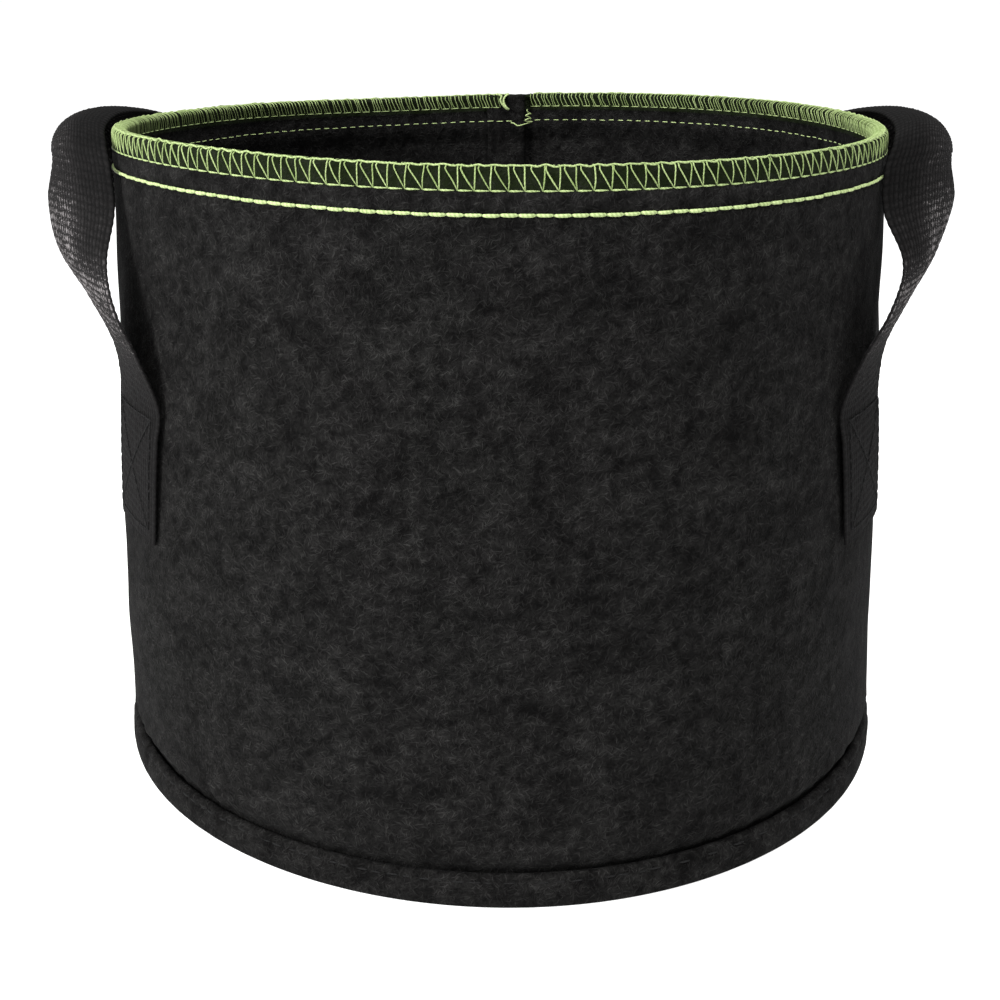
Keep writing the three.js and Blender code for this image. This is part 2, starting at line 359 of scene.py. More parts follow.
def felt_material(name, dark, light):
    n = Nodes(name)
    flat = n.cloth((1000, 1000, 1000))
    bend = n.make("ShaderNodeTexNoise", {"Vector": flat, "Scale": 0.25, "Detail": 2.0}).outputs["Color"]
    bend = n.make("ShaderNodeVectorMath", {0: bend, 1: (2.4, 2.4, 0)}, operation="MULTIPLY").outputs[0]
    place = n.make("ShaderNodeVectorMath", {0: flat, 1: bend}, operation="ADD").outputs[0]
    fibres = None
    for angle, length, thickness in FIBRES:
        layer = fibre_layer(n, place, angle, length, thickness)
        fibres = layer if fibres is None else n.math("MAXIMUM", fibres, layer)
    fine = n.noise(place, 1.3, 3.0, 0.7)
    patches = n.noise(flat, 0.07, 3.0, 0.6)
    lumps = n.noise(place, 0.28, 3.0, 0.6)
    tone = n.math("MULTIPLY_ADD", fibres, 0.55, n.math("MULTIPLY", fine, 0.5))
    tone = n.math("MULTIPLY", tone, n.math("MULTIPLY_ADD", patches, 1.9, 0.05))
    tone = n.math("MULTIPLY", tone, n.math("MULTIPLY_ADD", lumps, 2.4, -0.2))
    colour = n.ramp(tone, [(0.12, dark), (0.9, light)])
    stitched = n.make("ShaderNodeAttribute", attribute_name="stitched").outputs["Fac"]
    fuzz = n.math("MULTIPLY", stitched, n.math("MULTIPLY_ADD", fine, 1.2, -0.1), clamp=True)
    tinted = n.make("ShaderNodeMix", {"Factor": fuzz, 6: colour, 7: (*THREAD_FUZZ, 1)}, data_type="RGBA")
    height = n.math("MULTIPLY_ADD", lumps, 1.6, n.math("MULTIPLY", fine, 0.5))
    height = n.math("MULTIPLY_ADD", fibres, 0.6, height)
    n.bump(height, 0.9, 0.6 * MM)
    return n.finish(tinted.outputs[2], 0.95, Specular_IOR_Level=0.03, Sheen_Weight=0.006)


def webbing_material():
    n = Nodes("webbing")
    place = n.cloth((1000, 1000, 1000))
    fine = n.noise(n.turned(place, 0, (0.25, 1, 1)), 1.4, 2.0)
    patches = n.noise(place, 0.15, 2.0)
    flecks = n.math("MULTIPLY_ADD", n.noise(place, 1.3, 3.0, 0.7), 8.0, -4.3, clamp=True)
    # The yarns' raised crowns get painted glints from the ramp, and the hollows between them get painted
    # shade
    painted_glint = n.make("ShaderNodeAttribute", attribute_name="painted_glint").outputs["Fac"]
    tone = n.math("MULTIPLY", painted_glint, n.math("MULTIPLY_ADD", fine, 0.9, 0.5))
    tone = n.math("MULTIPLY", tone, n.math("MULTIPLY_ADD", patches, 1.0, 0.5))
    # The strap's painted shade layer, darker at its crown, beside the rim and on its sewn ends, scales the
    # tone
    lit = n.make("ShaderNodeAttribute", attribute_name="lit").outputs["Fac"]
    tone = n.math("ADD", n.math("MULTIPLY_ADD", flecks, 0.65, tone), 0.2)
    tone = n.math("MULTIPLY", tone, lit)
    colour = n.ramp(tone, list(zip((0.0, 0.25, 0.65, 1.0), WEBBING_TONES)))
    n.bump(fine, 0.6, 0.3 * MM)
    return n.finish(colour, 0.7, Specular_IOR_Level=0.04)


def thread_material(name, dark, light, roughness):
    """Plied thread: slanting strands round it, with painted shade between them."""
    n = Nodes(name)
    place = n.make("ShaderNodeAttribute", attribute_name="cloth").outputs["Vector"]
    parts = n.make("ShaderNodeSeparateXYZ", {0: place})
    turns = n.math("ADD", n.math("MULTIPLY", parts.outputs[0], 900.0), parts.outputs[1])
    strand = n.math("SINE", n.math("MULTIPLY", turns, 2 * math.pi))
    strand = n.math("MULTIPLY_ADD", strand, 0.5, 0.5)
    patches = n.noise(n.cloth((300, 1, 1)), 1.0, 1.0)
    clean = n.make("ShaderNodeAttribute", attribute_name="clean").outputs["Fac"]
    # The strands' pattern paints shade into the colour between them
    tone = n.math("MULTIPLY_ADD", strand, 0.3, n.math("MULTIPLY_ADD", patches, 0.5, 0.2))
    tone = n.math("MULTIPLY", tone, clean)
    colour = n.ramp(tone, [(0.0, dark), (0.85, light)])
    n.bump(strand, 0.3, 0.08 * MM)
    return n.finish(colour, roughness, Specular_IOR_Level=0.15)


# Fibre layers: the angle they lie at, and the length and thickness of a fibre's cell in mm
FIBRES = [(0.1, 4.6, 0.8), (0.65, 4.0, 0.75), (1.25, 3.6, 0.75), (1.85, 3.8, 0.7), (2.5, 4.2, 0.8)]
THREAD_FUZZ = (0.007, 0.013, 0.0018)

FELT_CLOTH = felt_material("felt", (0.0021, 0.002, 0.002), (0.0235, 0.023, 0.0222))
# The webbing's tones, mostly painted light on near-black yarn: in its painted shade, the painted shade
# between its yarns, on their flanks, and the painted glints on their crowns
WEBBING_TONES = [(0.001, 0.001, 0.001), (0.0072, 0.0068, 0.0068), (0.019, 0.018, 0.018), (0.16, 0.15, 0.15)]
WEBBING = webbing_material()
# Each thread's dark tone serves as the painted shade between its strands
GREEN = thread_material("green_thread", (0.06, 0.11, 0.01), (0.47, 0.57, 0.27), 0.55)
BLACK = thread_material("black_thread", (0.002, 0.002, 0.002), (0.007, 0.007, 0.007), 0.8)


# ---------------------------------------------------------------- the felt

sway = Waves(10, (2, 7), (5, 25))
ripple = Waves(16, (14, 40), (60, 200))
pucker = Waves(12, (60, 120), (10, 60))


def taper_radius(height):
    """The CAD wall's outside radius, before the foot is tucked in."""
    share = np.maximum(height - WAIST_FOOT, 0) / (HEIGHT - WAIST_FOOT)
    waist = WAIST * np.sin(math.pi * share) ** 2
    return RIM_RADIUS + (FOOT_RADIUS - RIM_RADIUS) * (1 - height / HEIGHT) - waist


def settled(points):
    """The bag isn't quite true: its rim rises at the front left and the back right, and its foot
    spreads a little at the front right."""
    points = np.array(points, float)
    x, y, z = points[..., 0], points[..., 1], points[..., 2]
    turn = np.arctan2(x, -y)
    rise = 2.0 * round_bump(turn, -52, 26) + 2.0 * round_bump(turn, 135, 35)
    rise = rise - 0.8 * round_bump(turn, -160, 15)
    spread = 1.2 * round_bump(turn, 40, 22) + 0.7 * round_bump(turn, 8, 16)
    spread = spread - 0.8 * round_bump(turn, -42, 22)
    spread = spread * MM / FOOT_RADIUS * (1 - smoothstep(0.012, 0.05, z))
    points[..., 0] = x * (1 + spread)
    points[..., 1] = y * (1 + spread)
    points[..., 2] = z + rise * MM * smoothstep(0.15, 0.195, z)
    return points


def stitch_wave(turn, pitch, radius):
    """1 in the middle of a stitch and 0 at its needle holes."""
    count = round(2 * math.pi * radius / pitch)
    return 0.5 - 0.5 * np.cos(turn * count)


def seam_turn(x, radius):
    """The turn of a place at the back of the bag, x metres to the right of its middle."""
    return math.pi - np.arcsin(x / radius)


SEAM_TURN = float(seam_turn(SEAM_RIGHT, RIM_RADIUS))


def wall_outside(turn, height):
    """The felt's outside radius, with its waves, the pull of its seams and the tucked-in foot."""
    radius = taper_radius(height)
    body = smoothstep(0.02, 0.06, height) * (1 - 0.75 * smoothstep(0.17, 0.205, height))
    radius = radius + 0.5 * MM * body * sway(turn, height) + 0.12 * MM * body * ripple(turn, height)
    tuck = 1 - smoothstep(BAND_HEIGHT - 0.5 * MM, TUCK_END_HEIGHT, height)
    radius = radius - tuck * BAND_TUCK
    crease = bump_at(height, BAND_HEIGHT + 3 * MM, 3 * MM)
    radius = radius + crease * 0.22 * MM * pucker(turn, 0 * height)
    lock = bump_at(height, LOCK_HEIGHT, 0.9 * MM)
    radius = radius - lock * (0.6 - 0.35 * stitch_wave(turn, LOCK_PITCH, RIM_RADIUS)) * MM
    needle = bump_at(height, NEEDLE_HEIGHT, 0.5 * MM)
    radius = radius - needle * 0.3 * MM
    radius = radius - 0.5 * MM * smoothstep(NEEDLE_HEIGHT - 2 * MM, CREST, height)
    return radius - 0.9 * MM * round_bump(turn, math.degrees(SEAM_TURN), 0.4)


def inside_face(turn, height):
    """The radius of the hem's inside face, or of the seam's strip where that lies on it."""
    turn, height = np.broadcast_arrays(turn, height)
    x = RIM_RADIUS * np.sin(turn)
    first = smoothstep(SEAM_RIGHT - 16.6 * MM, SEAM_RIGHT - 15.8 * MM, x)
    second = smoothstep(SEAM_RIGHT - 12 * MM, SEAM_RIGHT - 11 * MM, x)
    over = (first + second) / 2
    over = over * (1 - smoothstep(SEAM_RIGHT, SEAM_RIGHT + 0.6 * MM, x)) * (np.cos(turn) < 0)
    return wall_outside(turn, height) - HEM_THICKNESS - SEAM_RISE * over


def felt_wall():
    columns = FELT_COLUMNS
    round_turn = np.arange(columns) * 2 * math.pi / columns
    turn = SEAM_TURN + round_turn
    bottom = FELT + FLOOR_GAP
    up = np.concatenate([
        np.linspace(bottom, 30 * MM, 22),
        np.linspace(30 * MM, 192 * MM, 60)[1:],
        np.linspace(192 * MM, CREST - CREST_ROUND, 32)[1:],
    ])
    rows, cloth = [], []
    for height in up:
        rows.append(around(turn, wall_outside(turn, height), height))
        cloth.append((round_turn * RIM_RADIUS, height))
    edge_steps = 7
    middle = CREST - CREST_ROUND
    outer = wall_outside(turn, middle)
    half = HEM_THICKNESS / 2
    stitch = stitch_wave(turn, OVERLOCK_PITCH, RIM_RADIUS)
    for k in range(1, edge_steps):
        angle = math.pi * k / edge_steps
        lift = (1.6 + 0.18 * (stitch - 0.5)) * MM * math.sin(angle) ** 0.7
        drop = INNER_DROP * k / edge_steps
        radius = outer - half + half * math.cos(angle)
        rows.append(around(turn, radius, middle + lift - drop))
        cloth.append((round_turn * RIM_RADIUS, middle + half * angle))
    fold = middle + half * math.pi
    down = np.concatenate([
        np.linspace(middle - INNER_DROP, 190 * MM, 30),
        np.linspace(188 * MM, 30 * MM, 36),
        np.linspace(26 * MM, bottom, 12),
    ])
    for height in down:
        hem = smoothstep(HEIGHT - HEM_DEPTH - 4 * MM, HEIGHT - HEM_DEPTH + 3 * MM, height)
        thickness = FELT + (HEM_THICKNESS - FELT) * hem
        thickness = thickness - 0.3 * MM * bump_at(height, LOCK_HEIGHT, 1.0 * MM)
        radius = wall_outside(turn, height) - thickness
        own_ripple = smoothstep(0.02, 0.05, height) * (1 - smoothstep(0.17, 0.19, height))
        radius = radius + 0.2 * MM * ripple(turn + 1, height) * own_ripple
        groove = round_bump(turn, math.degrees(SEAM_TURN) - 1.0, 0.55)
        rows.append(around(turn, radius + 0.8 * MM * groove, height))
        cloth.append((round_turn * RIM_RADIUS + 0.4, fold + middle - height))
    points = np.array(rows)
    place = np.zeros(points.shape)
    for k, (across, height) in enumerate(cloth):
        place[k, :, 0] = across
        place[k, :, 1] = height
    faces = ring_faces(len(rows), columns)
    stitched = smoothstep(NEEDLE_HEIGHT - 0.4 * MM, NEEDLE_HEIGHT + 0.2 * MM, points[..., 2])
    piece = mesh_object("felt_wall", settled(points).reshape(-1, 3), faces, FELT_CLOTH, place.reshape(-1, 3))
    add_layer(piece, "stitched", stitched)
    return piece


def felt_base():
    """The round floor, its edge turned up outside the wall and pulled in by its stitches."""
    columns = FELT_COLUMNS
    round_turn = np.arange(columns) * 2 * math.pi / columns
    turn = SEAM_TURN + round_turn
    level = np.zeros(columns)
    inside = taper_radius(0) - BAND_TUCK + FLOOR_GAP
    stitch = stitch_wave(turn, LOCK_PITCH, FOOT_RADIUS)
    wave = pucker(turn, level) * 0.2 * MM
    edge = [(1.1, 0.0), (0.5, 0.12), (0.12, 0.5), (0.0, 1.2), (0.0, 2.4), (0.05, 3.8), (0.15, 5.2),
            (0.35, 6.6)]
    rows = [(radius, level) for radius in np.linspace(3 * MM, BASE_RADIUS - 3 * MM, FLOOR_ROWS)]
    rows += [(BASE_RADIUS - inset * MM + wave * height / 8, level + height * MM) for inset, height in edge]
    groove = (0.42 - 0.22 * stitch) * MM
    rows += [
        (BASE_RADIUS - 0.55 * MM - 0.5 * groove + wave, level + BASE_LINE - 0.7 * MM),
        (BASE_RADIUS - 0.62 * MM - groove + wave, level + BASE_LINE),
        (BASE_RADIUS - 0.75 * MM - 0.4 * groove + wave, level + BASE_LINE + 0.7 * MM),
        (BASE_RADIUS - 1.3 * MM + wave, level + BAND_HEIGHT - 0.6 * MM),
        (BASE_RADIUS - 2.2 * MM + wave, level + BAND_HEIGHT),
        (inside + 0.4 * MM, level + BAND_HEIGHT),
        (inside, level + BAND_HEIGHT - 0.6 * MM),
        (inside, level + 5 * MM),
        (inside - 0.2 * MM, level + FELT + 0.4 * MM),
    ]
    rows += [(radius, level + FELT) for radius in np.linspace(inside - 1 * MM, 3 * MM, FLOOR_ROWS)]
    points = np.array([around(turn, radius, height) for radius, height in rows])
    steps = np.linalg.norm(np.diff(points[:, 0], axis=0), axis=1)
    along = np.concatenate([[0], np.cumsum(steps)])
    flat = along[:, None] * np.ones(columns)
    place = np.stack([flat * np.sin(turn), flat * np.cos(turn), 0 * flat], -1)
    turned_up = (points[:, 0, 2] > 0.3 * MM) & (np.arange(len(rows)) < len(rows) - FLOOR_ROWS - 2)
    place[turned_up, :, 0] = round_turn * FOOT_RADIUS
    place[turned_up, :, 1] = along[turned_up][:, None] + 0.7
    faces = ring_faces(len(rows), columns, close_rows=False).tolist()
    faces.append(list(range(columns))[::-1])
    faces.append([(len(rows) - 1) * columns + k for k in range(columns)])
    return mesh_object("felt_base", settled(points).reshape(-1, 3), faces, FELT_CLOTH, place.reshape(-1, 3))


def seam_flap():
    """The wall's two ends inside the back seam, folded to the left, one on the other."""
    low, high = TUCK_END_HEIGHT + 8 * MM, CREST - 0.5 * MM
    section = [(0, -0.2), (0.5, 1.0), (0.6, 2.2), (0.1, 2.8), (-1.5, 2.9), (-6, 2.7), (-10.6, 2.6),
               (-11.4, 2.2), (-11.5, 1.5), (-13, 1.35), (-15.2, 1.3), (-15.9, 0.9), (-16, 0.2),
               (-15.6, -0.3), (-8, -0.4)]
    section = np.array(section) * MM
    hem_foot = HEIGHT - HEM_DEPTH
    heights = np.concatenate([np.linspace(low, hem_foot, 60), np.linspace(hem_foot, high, 20)[1:]])
    points, place = [], []
    for height in heights:
        hem = smoothstep(hem_foot - 4 * MM, hem_foot + 3 * MM, height)
        thickness = FELT + (HEM_THICKNESS - FELT) * hem
        face = wall_outside(seam_turn(SEAM_RIGHT - 6 * MM, RIM_RADIUS), height) - thickness
        dip = 0.5 * MM * bump_at(height, LOCK_HEIGHT, 1.2 * MM)
        for across, rise in section:
            x = SEAM_RIGHT + across * (1 + 0.03 * math.sin(height * 90)) - 0.3 * MM * math.sin(height * 55)
            sunk = face - rise + (dip if rise > 0.2 * MM else 0)
            points.append(around(seam_turn(x, RIM_RADIUS), sunk, height))
            place.append((1.3 + across + rise, height, 0))
    count = len(section)
    faces = ring_faces(len(heights), count, close_rows=False).tolist()
    faces.append(list(range(count))[::-1])
    faces.append([(len(heights) - 1) * count + k for k in range(count)])
    piece = mesh_object("seam_flap", settled(points), faces, FELT_CLOTH, place)
    heights_of_points = np.repeat(heights, count)
    left_part = np.tile(section[:, 0], len(heights)) < -7 * MM
    add_layer(piece, "stitched", (heights_of_points > INNER_NEEDLE_HEIGHT) * left_part)
    return piece


# ---------------------------------------------------------------- threads

def lockstitch(name, pitch, height_at, radius_at, side, thread, share, material, skip=None):
    """A row of single stitches round the bag. side is 1 outside and -1 inside."""
    tubes = Tubes(8)
    count = round(2 * math.pi * RIM_RADIUS / pitch)
    shape = np.array([(-0.5, -0.9), (-0.45, -0.25), (-0.36, 0.3), (-0.18, 0.6),
                      (0.18, 0.6), (0.36, 0.3), (0.45, -0.25), (0.5, -0.9)])
    fullness = np.array([0.6, 0.76, 0.94, 1.04, 1.06, 0.96, 0.78, 0.6])
    for k in range(count):
        middle = (k + 0.5) * 2 * math.pi / count
        if skip and skip(middle):
            continue
        span = share * 2 * math.pi / count
        drift = rng.normal(0, 0.08, 2) * MM
        turn = middle + shape[:, 0] * span
        height = height_at(turn) + np.linspace(drift[0], drift[1], len(shape))
        radius = radius_at(turn, height) + side * shape[:, 1] * thread
        path = np.concatenate([around(turn, radius, height), thread * fullness[:, None]], 1)
        path = smooth_path(path, 2)
        tubes.add(path[:, :3], path[:, 3] * rng.uniform(0.92, 1.06))
    return tubes.object(name, material)


def level(height):
    return lambda turn: np.full_like(turn, height)


def inside_line(turn):
    """The height of the hem's stitches inside, which run a little higher round the back."""
    return LOCK_HEIGHT + (1.7 - 1.1 * round_bump(turn, -100, 28)) * MM


def hem_inside(turn, height):
    return inside_face(turn, height) + 0.2 * MM


def beside_seam(turn):
    """Where the back seam's curled thread end covers the hem's stitches."""
    x = RIM_RADIUS * math.sin(turn)
    return math.cos(turn) < 0 and 4.5 * MM < x < SEAM_RIGHT + 5 * MM


def band_outside(turn, height):
    return np.full_like(turn, BASE_RADIUS - BASE_THREAD_INSET)


def wall_inside(turn, height):
    return wall_outside(turn, height) - FELT


# Where the overlock's threads cross the rim's top, from each face, in millimetres: the depth into
# the rim, and how far below its crest
OVER_FROM_OUTSIDE = [(0.3, 0.52), (1.3, 0.2), (2.0, 0.2)]
OVER_FROM_INSIDE = [(0.42, 0.85), (1.4, 0.36), (2.6, 0.2), (3.4, 0.3)]

# How thick the needle's dash is from one hole to the next, in thread radii
DASH_FULLNESS = np.array([0.8, 1.2, 1.35, 1.2, 0.8, 0.6])


def bare_part(turn):
    """Whether a turn is in the stretch of rim at the seam that has no overlock."""
    x = RIM_RADIUS * math.sin(turn)
    return math.cos(turn) < 0 and SEAM_RIGHT - BARE_RIM < x < SEAM_RIGHT + 1.8 * MM


def overlock_thread(tubes, face, side, foot_turn, top_turn, over, thread, clean):
    """One thread from the needle's line up a face of the rim, then over its top by the places given."""
    foot = NEEDLE_HEIGHT if side > 0 else INNER_NEEDLE_HEIGHT
    over = [(depth * MM, CREST - drop * MM) for depth, drop in over]
    top = over[0][1] - 0.8 * MM
    middle_turn = (foot_turn + top_turn) / 2 + rng.normal(0, 0.001)
    places = [(foot_turn, foot - 0.05 * MM, -0.3 * thread), (middle_turn, (foot + top) / 2, 0.7 * thread)]
    places.append((top_turn, top, 0.8 * thread))
    places += [(top_turn, height, -depth) for depth, height in over]
    path = [around(turn, face(turn, height) + side * lift, height) for turn, height, lift in places]
    clean = clean * rng.uniform(0.7, 1.25)
    tubes.add(smooth_path(path, 3), thread * rng.uniform(0.85, 1.1), clean=clean)


def needle_dash(tubes, face, side, hole, step, thread):
    foot = NEEDLE_HEIGHT if side > 0 else INNER_NEEDLE_HEIGHT
    turn = hole + np.array([0.02, 0.12, 0.28, 0.46, 0.7, 0.97]) * step
    lift = np.array([-0.9, 0.4, 0.8, 0.6, 0.1, -0.9]) * thread
    line = around(turn, face(turn, foot) + side * lift, foot)
    line = smooth_path(np.concatenate([line, DASH_FULLNESS[:, None] * thread], 1), 2)
    tubes.add(line[:, :3], line[:, 3], clean=DASH_CLEAN)


def edge_chain():
    """The chain where the overlock's threads lock, along the rim's crest. It dips at each hole."""
    tubes = Tubes(6)
    count = round(2 * math.pi * RIM_RADIUS / OVERLOCK_PITCH)
    step = 2 * math.pi / count

    def spot(turn, inset, height):
        return around(turn, wall_outside(turn, height) - inset * MM, height)

    run = []
    for k in range(count + 2):
        turn = SEAM_TURN + (k - 1) * step
        if bare_part(turn):
            if len(run) > 1:
                tubes.add(smooth_path(run, 3), CHAIN_THREAD, clean=CHAIN_CLEAN)
            run = []
            continue
        jog = rng.normal(0, 0.06, 2) * step
        lift = rng.normal(0, 0.09, 2) * MM
        run.append(spot(turn - 0.55 * step + jog[0], 0.75, CREST - 0.1 * MM + lift[0]))
        run.append(spot(turn + jog[1], 0.45, CREST - 0.35 * MM + lift[1]))
    if len(run) > 1:
        tubes.add(smooth_path(run, 3), CHAIN_THREAD, clean=CHAIN_CLEAN)
    return tubes.object("rim_overlock_chain", GREEN)


def rim_overlock():
    """The overlock: at each needle hole one upright and one slanting thread outside, and three
    slanting ones side by side inside."""
    outer, inner = Tubes(6), Tubes(6)
    count = round(2 * math.pi * RIM_RADIUS / OVERLOCK_PITCH)
    step = 2 * math.pi / count
    thin = 0.8 * OVERLOCK_THREAD
    for k in range(count):
        hole = (k + 0.5 + rng.normal(0, 0.04)) * step
        if bare_part(hole):
            continue
        for lean in (rng.normal(0.03, 0.05), -rng.uniform(0.62, 0.84)):
            top = hole + lean * step
            overlock_thread(outer, wall_outside, 1, hole, top, OVER_FROM_OUTSIDE, OVERLOCK_THREAD, 0.62)
        for place in (0, 0.36, 0.68):
            foot = hole + (place + rng.normal(0, 0.05)) * step
            top = foot + rng.uniform(0.25, 0.45) * step
            if not bare_part(top) and not bare_part(foot):
                overlock_thread(inner, inside_face, -1, foot, top, OVER_FROM_INSIDE, thin, 0.6)
        if not bare_part(hole + step):
            needle_dash(outer, wall_outside, 1, hole, step, OVERLOCK_THREAD)
            needle_dash(inner, inside_face, -1, hole, step, 0.7 * OVERLOCK_THREAD)
    return outer.object("rim_overlock_outside", GREEN), inner.object("rim_overlock_inside", GREEN)


def seam_threads():
    """The overlock's knotted end and curled tail at the seam, inside the rim."""
    face = RIM_RADIUS - HEM_THICKNESS - 1.2 * MM
    knot = [(-1.6, 1.7, 0.1), (-0.9, 2.3, 0.2), (0.6, 2.5, -0.6), (0.2, 2.6, -2.2), (0.9, 2.7, -3.8),
            (2.6, 2.9, -5.6), (3.6, 2.7, -6.0), (2.7, 3.1, -5.2), (1.7, 2.8, -3.6), (1.6, 2.6, -1.8),
            (2.6, 2.4, -0.4), (3.6, 1.6, 0.1)]
    tail = [(4.6, 3.1, -11.6), (5.8, 3.2, -11.8), (7.4, 3.4, -12.8), (9.2, 3.5, -12.5), (12.4, 1.8, -11.8),
            (13.6, 1.2, -11.5), (11.6, 2.6, -11.2), (10.6, 3.3, -10.7), (11.8, 2.9, -10.1),
            (13.0, 1.4, -10.2), (12.0, 2.6, -9.3), (10.8, 3.4, -8.7), (12.2, 2.6, -8.1),
            (12.9, 1.6, -8.2), (11.6, 3.0, -7.2), (11.3, 3.2, -6.3)]
    tubes = Tubes(8)
    for path, radius in ((knot, 0.42), (tail, 0.26)):
        points = []
        for x, depth, drop in path:
            y = math.sqrt((face - depth * MM) ** 2 - (x * MM) ** 2)
            points.append((x * MM, y, CREST + drop * MM))
        tubes.add(smooth_path(points, 6), radius * MM)
    return tubes.object("seam_thread_ends", GREEN)


def back_seam_stitches():
    """The seam's own thread, which shows as short bars across the joint outside, at the back."""
    tubes = Tubes(6)
    middle = seam_turn(SEAM_RIGHT, RIM_RADIUS)
    for height in np.arange(TUCK_END_HEIGHT + 3 * MM, HEIGHT - 8 * MM, SEAM_PITCH):
        shape = np.array([(-0.9, -0.5), (-0.5, 0.1), (0, 0.3), (0.5, 0.1), (0.9, -0.5)])
        turn = middle + shape[:, 0] * MM / RIM_RADIUS
        level = height + shape[:, 0] * 0.35 * MM + rng.normal(0, 0.1) * MM
        radius = wall_outside(turn, level) + shape[:, 1] * MM * 0.6
        tubes.add(smooth_path(around(turn, radius, level), 3), SEAM_THREAD)
    return tubes.object("back_seam_stitches", GREEN)


# ---------------------------------------------------------------- the handles

# The left handle from its front sewn end to the middle of its crown, in millimetres: the strap's
# lower, outer edge, its upper, inner edge, and how far its middle is arched outwards.
HANDLE_STATIONS = [
    ((-123.5, -46.2, 149.5), (-107.4, -80.2, 149.5), 1.4),
    ((-131.3, -42.6, 163.5), (-114.4, -76.2, 164.1), 1.0),
    ((-139.6, -37.4, 176.2), (-118.0, -67.4, 176.8), 2.2),
    ((-144.2, -31.4, 190.1), (-117.1, -57.6, 190.6), 3.6),
    ((-144.0, -25.9, 200.8), (-118.4, -53.4, 202.9), 4.6),
    ((-145.8, -19.0, 203.8), (-120.8, -47.3, 209.8), 5.4),
    ((-149.2, -10.0, 203.2), (-126.0, -26.9, 213.6), 6.2),
    ((-150.6, 0.0, 202.2), (-128.0, 0.0, 215.2), 6.6),
]
# How much further out the left handle's outer edge and the right handle's lower inner edge stand
LEFT_HANDLE_EASE = 1.5 * MM
RIGHT_HANDLE_EASE = 3.0 * MM
# How far the right handle's upper part spreads: its inner edge towards the rim, its outer edge away
RIGHT_INNER_SPREAD = 1.6 * MM
RIGHT_OUTER_SPREAD = 1.4 * MM
# The painted light on the left and the right handle's webbing: the right one is painted a little darker
WEBBING_LIGHT = {-1: 1.0, 1: 0.98}
# Where the webbing is painted darker, as painted shade: from one height to another, and by how much, at the
# crown and by the rim
CROWN_SHADE = (186 * MM, 200 * MM, 0.4)
RIM_SHADE = (168 * MM, 182 * MM, 0.6)


def on_strap(across, height, out):
    """A place on the left strap's front sewn end, by metres across it, and out from its middle."""
    lean = STRAP_LEAN * (height - SEWN_BOTTOM) / (SEWN_TOP - SEWN_BOTTOM)
    angle = STRAP_ANGLE + lean + across / taper_radius((SEWN_BOTTOM + SEWN_TOP) / 2)
    radius = taper_radius(height) + FLOOR_GAP + 0.15 * MM + STRAP_THICKNESS / 2 + out
    return np.stack([-radius * np.cos(angle), -radius * np.sin(angle), height + 0 * angle], -1)


def strap_stations(side):
    """Both edges and the arch along the front half of the left strap, from its sewn lower end."""
    rows = []
    for height in np.linspace(SEWN_BOTTOM, SEWN_TOP, 5):
        edges = on_strap(np.array([-0.5, 0.5]) * STRAP_WIDTH, height, 0)
        rows.append((*edges[0], *edges[1], 1.4 * MM))
    for outer, inner, arch in HANDLE_STATIONS:
        rows.append(tuple(value * MM for value in (*outer, *inner, arch)))
    rows = np.array(rows)
    if side > 0:
        rows[:, 3] -= RIGHT_HANDLE_EASE * bump_at(rows[:, 5], 175 * MM, 11 * MM)
        upper = smoothstep(183 * MM, 190 * MM, rows[:, 5])
        upper = upper * (1 - smoothstep(204 * MM, 212 * MM, rows[:, 5]))
        rows[:, 3] += RIGHT_INNER_SPREAD * upper
        rows[:, 0] -= RIGHT_OUTER_SPREAD * smoothstep(176 * MM, 188 * MM, rows[:, 2])
    else:
        rows[:, 0] -= LEFT_HANDLE_EASE * bump_at(rows[:, 2], 178 * MM, 10 * MM)
    return rows


def strap_curve(side):
    """The whole strap's stations, front to back, on a smooth curve spaced evenly along its middle."""
    front = strap_stations(side)
    mirror = front[:-1][::-1] * [1, -1, 1, 1, -1, 1, 1]
    fine = smooth_path(np.concatenate([front, mirror]), 40)
    middle = (fine[:, :3] + fine[:, 3:6]) / 2
    along = np.concatenate([[0], np.cumsum(np.linalg.norm(np.diff(middle, axis=0), axis=1))])
    steps = round(along[-1] / (0.4 * MM))
    even = np.linspace(0, along[-1], steps + 1)
    return np.stack([np.interp(even, along, fine[:, k]) for k in range(7)], 1), even


def weave(across, along):
    """How far the yarns stand up, from 0 to 1: short lengthwise floats side by side, no two alike, in
    rows that slant a little."""
    chance = np.random.default_rng(11)
    column = across / WEAVE_COLUMN
    shift = chance.uniform(-0.1, 0.1, 64)[np.floor(column).astype(int) % 64]
    row = along / WEAVE_ROW + shift + 0.06 * column
    bead = np.abs(np.sin(math.pi * (column % 1))) ** 0.8
    float_shape = np.abs(np.sin(math.pi * (row % 1))) ** 0.8
    own = chance.uniform(0.5, 1.0, (64, 1024))
    own = own[np.floor(column).astype(int) % 64, np.floor(row).astype(int) % 1024]
    return bead * (0.15 + 0.85 * float_shape) * own


